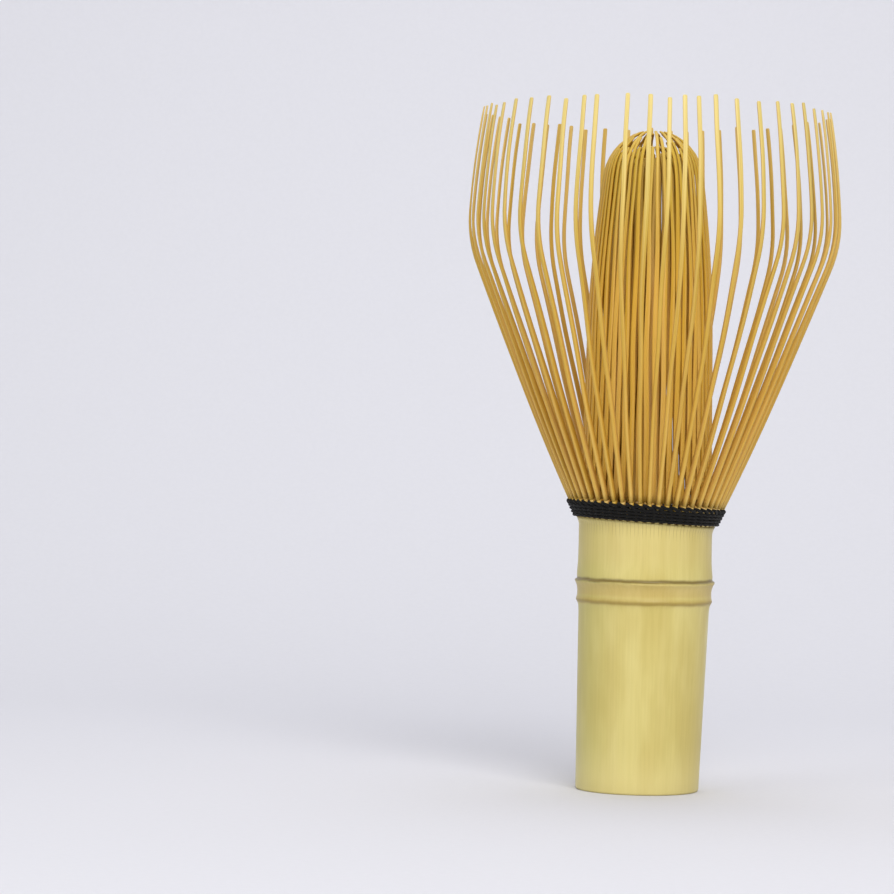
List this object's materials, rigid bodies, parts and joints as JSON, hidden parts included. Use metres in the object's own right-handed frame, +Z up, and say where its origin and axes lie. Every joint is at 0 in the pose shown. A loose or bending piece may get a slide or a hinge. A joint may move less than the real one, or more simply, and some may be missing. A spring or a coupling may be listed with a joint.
{
  "type": "bamboo tea whisk",
  "caption": "Upright bamboo tea whisk with a hollow round handle, a ringed node, a flared crown of thin incurved tines round a dense central bundle, and a black thread binding.",
  "frame": {"origin": "the middle of the whisk's overall box at the height of the handle's flat base, which is on the axis of the tine ring", "axes": "+Z up the culm from the base to the tine tips; -Y is the front, the side seen from the front view, and +X is to its right"},
  "size_m": [0.0628, 0.0628, 0.1149],
  "materials": {
    "culm_skin": "smooth natural bamboo skin with a soft waxy sheen",
    "outer_tine_bamboo": "shaved split bamboo, golden",
    "inner_tine_bamboo": "shaved split bamboo, deeper golden",
    "black_thread": "matte black cotton thread"
  },
  "bodies": {
    "handle": {"handle": "culm_skin", "outer_tine_roots": "outer_tine_bamboo", "inner_tine_roots": "inner_tine_bamboo", "binding_rounds": "black_thread", "twining_strand_a": "black_thread", "twining_strand_b": "black_thread", "thread_knot": "black_thread"},
    "outer_tines_01": {"outer_tines_01": "outer_tine_bamboo"},
    "outer_tines_02": {"outer_tines_02": "outer_tine_bamboo"},
    "outer_tines_03": {"outer_tines_03": "outer_tine_bamboo"},
    "outer_tines_04": {"outer_tines_04": "outer_tine_bamboo"},
    "outer_tines_05": {"outer_tines_05": "outer_tine_bamboo"},
    "outer_tines_06": {"outer_tines_06": "outer_tine_bamboo"},
    "outer_tines_07": {"outer_tines_07": "outer_tine_bamboo"},
    "outer_tines_08": {"outer_tines_08": "outer_tine_bamboo"},
    "outer_tines_09": {"outer_tines_09": "outer_tine_bamboo"},
    "outer_tines_10": {"outer_tines_10": "outer_tine_bamboo"},
    "outer_tines_11": {"outer_tines_11": "outer_tine_bamboo"},
    "outer_tines_12": {"outer_tines_12": "outer_tine_bamboo"},
    "outer_tines_13": {"outer_tines_13": "outer_tine_bamboo"},
    "outer_tines_14": {"outer_tines_14": "outer_tine_bamboo"},
    "outer_tines_15": {"outer_tines_15": "outer_tine_bamboo"},
    "outer_tines_16": {"outer_tines_16": "outer_tine_bamboo"},
    "outer_tines_17": {"outer_tines_17": "outer_tine_bamboo"},
    "outer_tines_18": {"outer_tines_18": "outer_tine_bamboo"},
    "inner_tines_01": {"inner_tines_01": "inner_tine_bamboo"},
    "inner_tines_02": {"inner_tines_02": "inner_tine_bamboo"},
    "inner_tines_03": {"inner_tines_03": "inner_tine_bamboo"},
    "inner_tines_04": {"inner_tines_04": "inner_tine_bamboo"},
    "inner_tines_05": {"inner_tines_05": "inner_tine_bamboo"},
    "inner_tines_06": {"inner_tines_06": "inner_tine_bamboo"},
    "inner_tines_07": {"inner_tines_07": "inner_tine_bamboo"},
    "inner_tines_08": {"inner_tines_08": "inner_tine_bamboo"},
    "inner_tines_09": {"inner_tines_09": "inner_tine_bamboo"}
  },
  "joints": [
    {"name": "outer_flex_01", "type": "hinge", "parent": "handle", "child": "outer_tines_01", "pos_m": [0.00126, -0.01264, 0.04858], "axis": [0.9951, 0.0987, 0], "range_deg": [-3, 6], "stiffness_Nm_per_rad": 0.027},
    {"name": "outer_flex_02", "type": "hinge", "parent": "handle", "child": "outer_tines_02", "pos_m": [0.0055, -0.01145, 0.04836], "axis": [0.9013, 0.4331, 0], "range_deg": [-3, 6], "stiffness_Nm_per_rad": 0.027},
    {"name": "outer_flex_03", "type": "hinge", "parent": "handle", "child": "outer_tines_03", "pos_m": [0.00909, -0.00888, 0.04817], "axis": [0.6988, 0.7153, 0], "range_deg": [-3, 6], "stiffness_Nm_per_rad": 0.027},
    {"name": "outer_flex_04", "type": "hinge", "parent": "handle", "child": "outer_tines_04", "pos_m": [0.01158, -0.00524, 0.04804], "axis": [0.412, 0.9112, 0], "range_deg": [-3, 6], "stiffness_Nm_per_rad": 0.027},
    {"name": "outer_flex_05", "type": "hinge", "parent": "handle", "child": "outer_tines_05", "pos_m": [0.01267, -0.00096, 0.04798], "axis": [0.0756, 0.9971, 0], "range_deg": [-3, 6], "stiffness_Nm_per_rad": 0.027},
    {"name": "outer_flex_06", "type": "hinge", "parent": "handle", "child": "outer_tines_06", "pos_m": [0.01223, 0.00343, 0.048], "axis": [-0.27, 0.9628, 0], "range_deg": [-3, 6], "stiffness_Nm_per_rad": 0.027},
    {"name": "outer_flex_07", "type": "hinge", "parent": "handle", "child": "outer_tines_07", "pos_m": [0.01032, 0.00741, 0.04811], "axis": [-0.5831, 0.8124, 0], "range_deg": [-3, 6], "stiffness_Nm_per_rad": 0.027},
    {"name": "outer_flex_08", "type": "hinge", "parent": "handle", "child": "outer_tines_08", "pos_m": [0.00717, 0.01049, 0.04827], "axis": [-0.8258, 0.564, 0], "range_deg": [-3, 6], "stiffness_Nm_per_rad": 0.027},
    {"name": "outer_flex_09", "type": "hinge", "parent": "handle", "child": "outer_tines_09", "pos_m": [0.00314, 0.01231, 0.04848], "axis": [-0.9689, 0.2476, 0], "range_deg": [-3, 6], "stiffness_Nm_per_rad": 0.027},
    {"name": "outer_flex_10", "type": "hinge", "parent": "handle", "child": "outer_tines_10", "pos_m": [-0.00126, 0.01264, 0.04872], "axis": [-0.9951, -0.0987, 0], "range_deg": [-3, 6], "stiffness_Nm_per_rad": 0.027},
    {"name": "outer_flex_11", "type": "hinge", "parent": "handle", "child": "outer_tines_11", "pos_m": [-0.0055, 0.01145, 0.04894], "axis": [-0.9013, -0.4331, 0], "range_deg": [-3, 6], "stiffness_Nm_per_rad": 0.027},
    {"name": "outer_flex_12", "type": "hinge", "parent": "handle", "child": "outer_tines_12", "pos_m": [-0.00909, 0.00888, 0.04913], "axis": [-0.6988, -0.7153, 0], "range_deg": [-3, 6], "stiffness_Nm_per_rad": 0.027},
    {"name": "outer_flex_13", "type": "hinge", "parent": "handle", "child": "outer_tines_13", "pos_m": [-0.01158, 0.00524, 0.04926], "axis": [-0.412, -0.9112, 0], "range_deg": [-3, 6], "stiffness_Nm_per_rad": 0.027},
    {"name": "outer_flex_14", "type": "hinge", "parent": "handle", "child": "outer_tines_14", "pos_m": [-0.01267, 0.00096, 0.04932], "axis": [-0.0756, -0.9971, 0], "range_deg": [-3, 6], "stiffness_Nm_per_rad": 0.027},
    {"name": "outer_flex_15", "type": "hinge", "parent": "handle", "child": "outer_tines_15", "pos_m": [-0.01223, -0.00343, 0.0493], "axis": [0.27, -0.9628, 0], "range_deg": [-3, 6], "stiffness_Nm_per_rad": 0.027},
    {"name": "outer_flex_16", "type": "hinge", "parent": "handle", "child": "outer_tines_16", "pos_m": [-0.01032, -0.00741, 0.0492], "axis": [0.5831, -0.8124, 0], "range_deg": [-3, 6], "stiffness_Nm_per_rad": 0.027},
    {"name": "outer_flex_17", "type": "hinge", "parent": "handle", "child": "outer_tines_17", "pos_m": [-0.00717, -0.01049, 0.04903], "axis": [0.8258, -0.564, 0], "range_deg": [-3, 6], "stiffness_Nm_per_rad": 0.027},
    {"name": "outer_flex_18", "type": "hinge", "parent": "handle", "child": "outer_tines_18", "pos_m": [-0.00314, -0.01231, 0.04882], "axis": [0.9689, -0.2476, 0], "range_deg": [-3, 6], "stiffness_Nm_per_rad": 0.027},
    {"name": "inner_flex_01", "type": "hinge", "parent": "handle", "child": "inner_tines_01", "pos_m": [0.00349, -0.01013, 0.04843], "axis": [0.9455, 0.3256, 0], "range_deg": [0, 4], "stiffness_Nm_per_rad": 0.011},
    {"name": "inner_flex_02", "type": "hinge", "parent": "handle", "child": "inner_tines_02", "pos_m": [0.00918, -0.00551, 0.04807], "axis": [0.515, 0.8572, 0], "range_deg": [0, 4], "stiffness_Nm_per_rad": 0.011},
    {"name": "inner_flex_03", "type": "hinge", "parent": "handle", "child": "inner_tines_03", "pos_m": [0.01058, 0.00168, 0.04799], "axis": [-0.1564, 0.9877, 0], "range_deg": [0, 4], "stiffness_Nm_per_rad": 0.011},
    {"name": "inner_flex_04", "type": "hinge", "parent": "handle", "child": "inner_tines_04", "pos_m": [0.00703, 0.00808, 0.04821], "axis": [-0.7547, 0.6561, 0], "range_deg": [0, 4], "stiffness_Nm_per_rad": 0.011},
    {"name": "inner_flex_05", "type": "hinge", "parent": "handle", "child": "inner_tines_05", "pos_m": [0.00019, 0.01071, 0.04864], "axis": [-0.9998, 0.0175, 0], "range_deg": [0, 4], "stiffness_Nm_per_rad": 0.011},
    {"name": "inner_flex_06", "type": "hinge", "parent": "handle", "child": "inner_tines_06", "pos_m": [-0.00674, 0.00832, 0.04907], "axis": [-0.7771, -0.6293, 0], "range_deg": [0, 4], "stiffness_Nm_per_rad": 0.011},
    {"name": "inner_flex_07", "type": "hinge", "parent": "handle", "child": "inner_tines_07", "pos_m": [-0.01051, 0.00204, 0.04931], "axis": [-0.1908, -0.9816, 0], "range_deg": [0, 4], "stiffness_Nm_per_rad": 0.011},
    {"name": "inner_flex_08", "type": "hinge", "parent": "handle", "child": "inner_tines_08", "pos_m": [-0.00937, -0.00519, 0.04924], "axis": [0.4848, -0.8746, 0], "range_deg": [0, 4], "stiffness_Nm_per_rad": 0.011},
    {"name": "inner_flex_09", "type": "hinge", "parent": "handle", "child": "inner_tines_09", "pos_m": [-0.00384, -0.01, 0.04889], "axis": [0.9336, -0.3584, 0], "range_deg": [0, 4], "stiffness_Nm_per_rad": 0.011}
  ]
}
